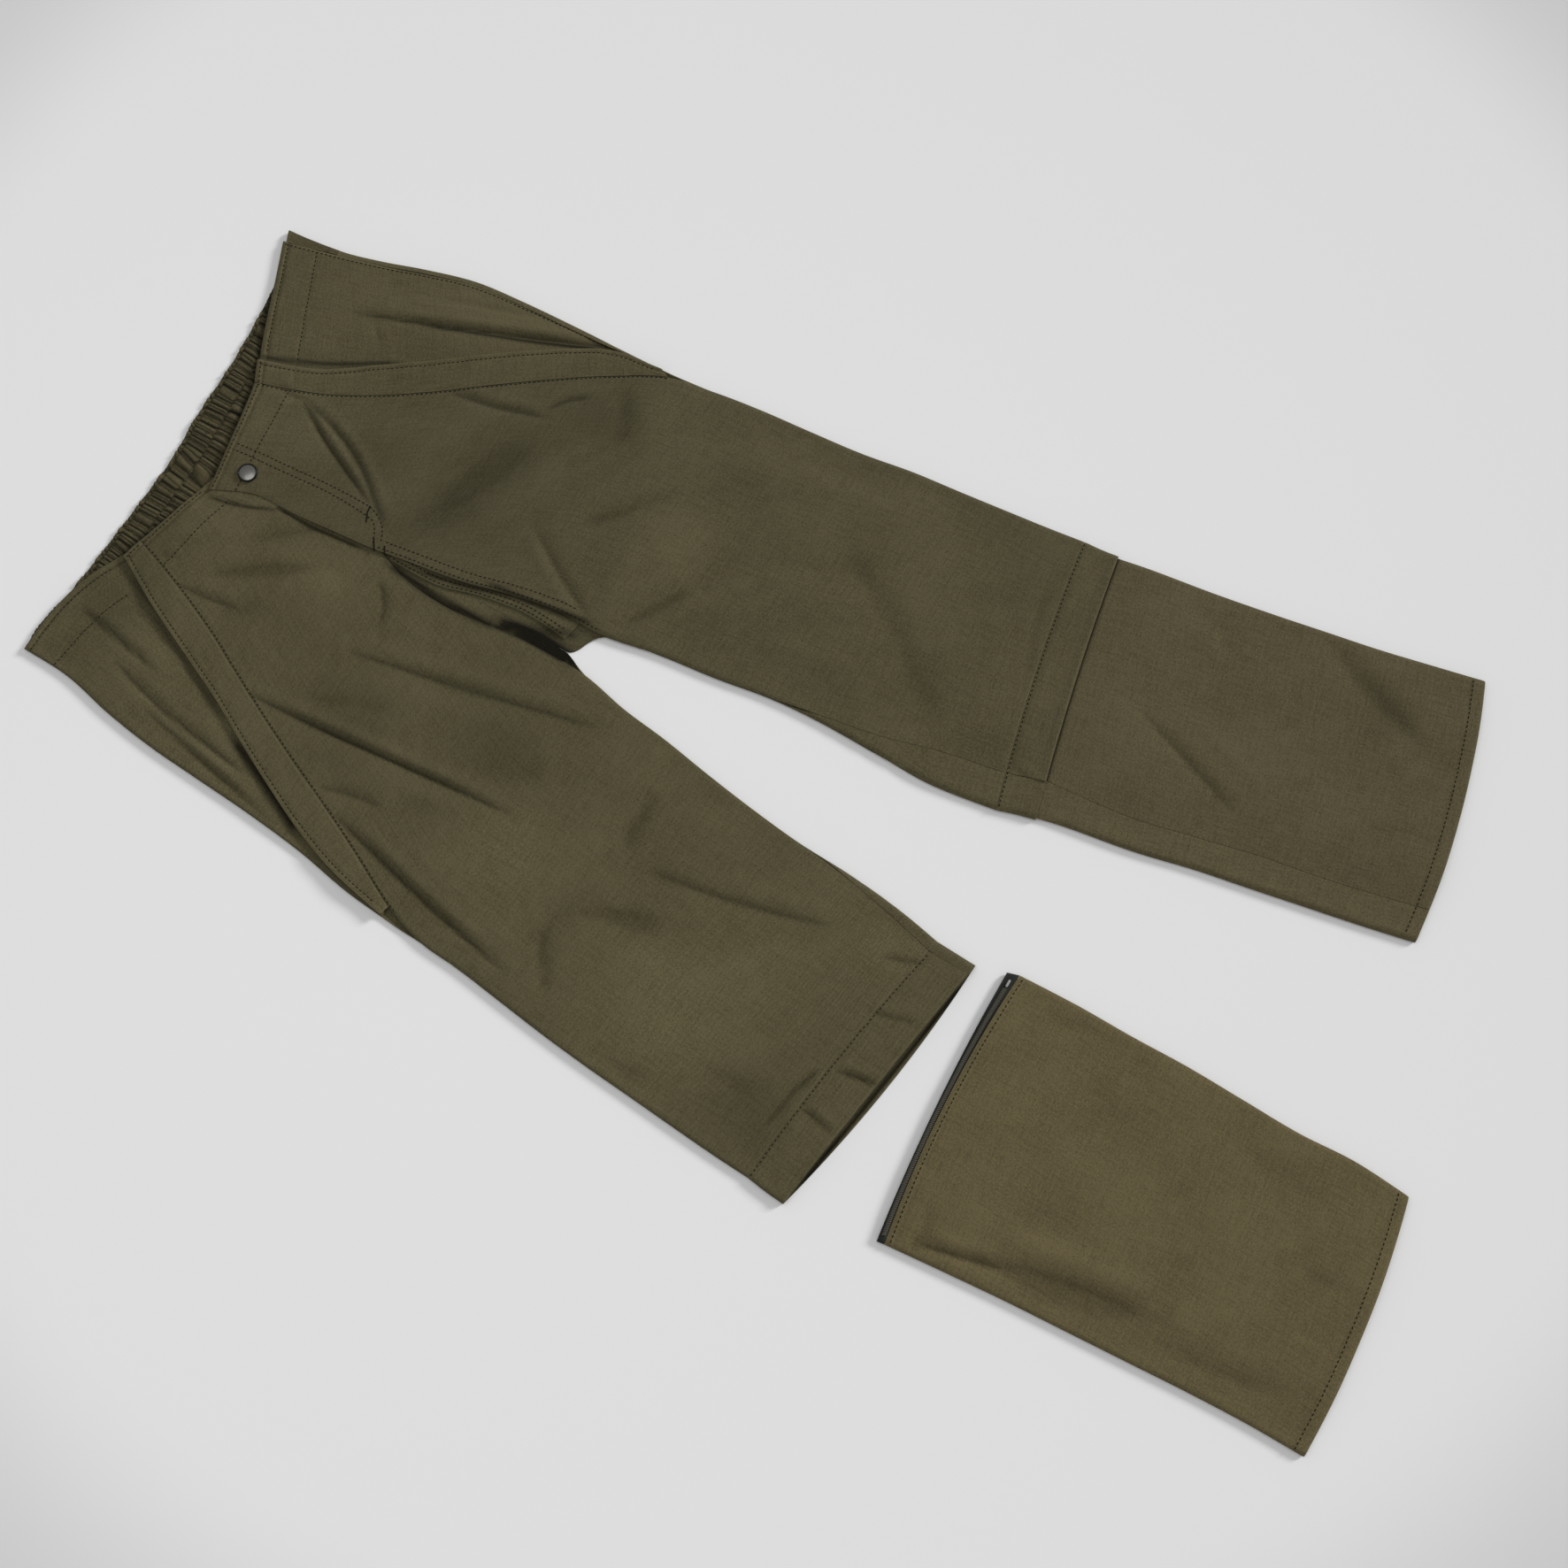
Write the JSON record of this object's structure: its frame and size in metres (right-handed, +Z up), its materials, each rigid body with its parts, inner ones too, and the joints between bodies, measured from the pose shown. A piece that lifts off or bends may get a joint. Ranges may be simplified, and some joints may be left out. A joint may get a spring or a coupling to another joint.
{
  "type": "convertible zip-off trousers",
  "caption": "Convertible trousers laid flat: slant pockets, fly with press stud, gathered elastic back waist, knee flaps over zips, one lower leg zipped off and laid beside its leg.",
  "frame": {"origin": "middle of the bounding box, on the surface that the garment lies on", "axes": "+Y from the hems to the waist, +Z up from the surface, +X towards the complete leg, which is the wearer's left"},
  "size_m": [0.642, 1.1959, 0.0101],
  "materials": {
    "thigh_cloth": "matt olive cotton, fine plain weave, topstitched in its own colour",
    "waistband_cloth": "the same cotton gathered over elastic, dark in the gathers",
    "lower_cloth": "matt olive cotton, fine plain weave",
    "loose_cloth": "matt olive cotton, fine plain weave, a little lighter",
    "stud_metal": "worn gunmetal, domed, with a dark rim",
    "zip_tape": "charcoal woven tape",
    "zip_coil": "grey-olive nylon coil",
    "zip_pin": "pale grey moulded end"
  },
  "bodies": {
    "root": {"front_left": "thigh_cloth", "front_right": "thigh_cloth", "back_left": "thigh_cloth", "back_right": "thigh_cloth", "pocket_band_left": "thigh_cloth", "pocket_band_right": "thigh_cloth", "pocket_side_left": "thigh_cloth", "pocket_side_right": "thigh_cloth", "fly_shield": "thigh_cloth", "fork_band": "thigh_cloth", "knee_flap_left": "thigh_cloth", "knee_flap_left_back": "thigh_cloth", "knee_flap_right": "thigh_cloth", "knee_flap_right_back": "thigh_cloth", "back_waistband": "waistband_cloth", "lower_front": "lower_cloth", "lower_back": "lower_cloth", "loose_front": "loose_cloth", "loose_back": "loose_cloth", "snap_cap": "stud_metal", "loose_zip_tape": "zip_tape", "loose_zip_tape_back": "zip_tape", "knee_zip_left": "zip_tape", "knee_zip_left_back": "zip_tape", "knee_zip_right": "zip_tape", "knee_zip_right_back": "zip_tape", "loose_zip_coil": "zip_coil", "loose_zip_pin": "zip_pin"}
  },
  "joints": []
}
